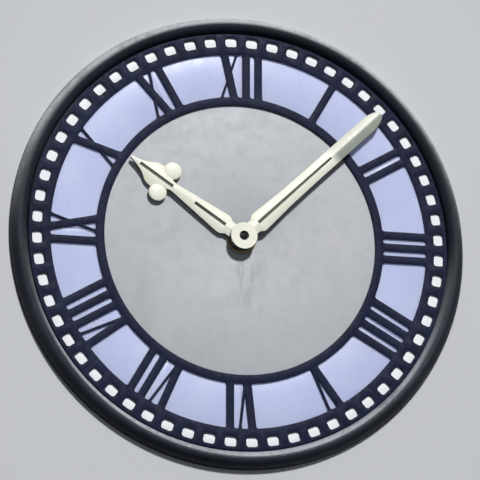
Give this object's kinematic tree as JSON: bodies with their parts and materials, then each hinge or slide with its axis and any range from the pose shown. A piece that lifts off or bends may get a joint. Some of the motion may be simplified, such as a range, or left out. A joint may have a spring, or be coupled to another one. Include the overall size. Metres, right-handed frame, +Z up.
{
  "type": "tower clock dial",
  "caption": "Pierced cast-iron skeleton dial of a tower clock in a moulded rim, with Roman numerals, opal glass, a plain centre plate and a pair of ridged hands.",
  "frame": {"origin": "on the wall plane, at the lowest point of the rim's back, in the middle of its outer lip; the dial's centre is 0.809 m above it", "axes": "+X to the right as the dial is read, +Y into the wall along the hands' arbor, +Z up to twelve o'clock"},
  "size_m": [1.6298, 0.206, 1.6298],
  "materials": {
    "rim_paint": "weathered satin",
    "casting_paint": "weathered satin",
    "opal_glass": "opal",
    "track_opal": "opal",
    "centre_paint": "weathered matt",
    "hand_paint": "satin",
    "bare_iron": "dull",
    "turned_steel": "turned",
    "bush_brass": "dull, darkened"
  },
  "bodies": {
    "dial": {"rim": "rim_paint", "inner_ring": "casting_paint", "centre_plate": "centre_paint", "outer_retainer": "bare_iron", "middle_retainer": "bare_iron", "inner_retainer": "bare_iron", "track_section_1": "casting_paint", "track_section_2": "casting_paint", "track_section_3": "casting_paint", "track_section_4": "casting_paint", "track_glass": "track_opal", "numeral_1": "casting_paint", "numeral_2": "casting_paint", "numeral_3": "casting_paint", "numeral_4": "casting_paint", "numeral_5": "casting_paint", "numeral_6": "casting_paint", "numeral_7": "casting_paint", "numeral_8": "casting_paint", "numeral_9": "casting_paint", "numeral_10": "casting_paint", "numeral_11": "casting_paint", "numeral_12": "casting_paint", "pane_1": "opal_glass", "pane_2": "opal_glass", "pane_3": "opal_glass", "pane_4": "opal_glass", "pane_5": "opal_glass", "pane_6": "opal_glass", "pane_7": "opal_glass", "pane_8": "opal_glass", "pane_9": "opal_glass", "pane_10": "opal_glass", "pane_11": "opal_glass", "pane_12": "opal_glass", "back_arms": "bare_iron", "centre_bush": "bush_brass", "bush_nut": "bare_iron"},
    "hour_motion": {"hour_pipe": "turned_steel", "hour_hand": "hand_paint"},
    "minute_motion": {"minute_arbor": "turned_steel", "minute_hand": "hand_paint", "arbor_nut": "bare_iron"}
  },
  "joints": [
    {"name": "minute_turn", "type": "hinge", "parent": "dial", "child": "minute_motion", "pos_m": [0, 0, 0.809], "axis": [0, 1, 0], "continuous": true},
    {"name": "hour_turn", "type": "hinge", "parent": "dial", "child": "hour_motion", "pos_m": [0, 0, 0.809], "axis": [0, 1, 0], "continuous": true}
  ],
  "couplings": [
    {"joint": "hour_turn", "follows": "minute_turn", "ratio": 0.083333}
  ]
}
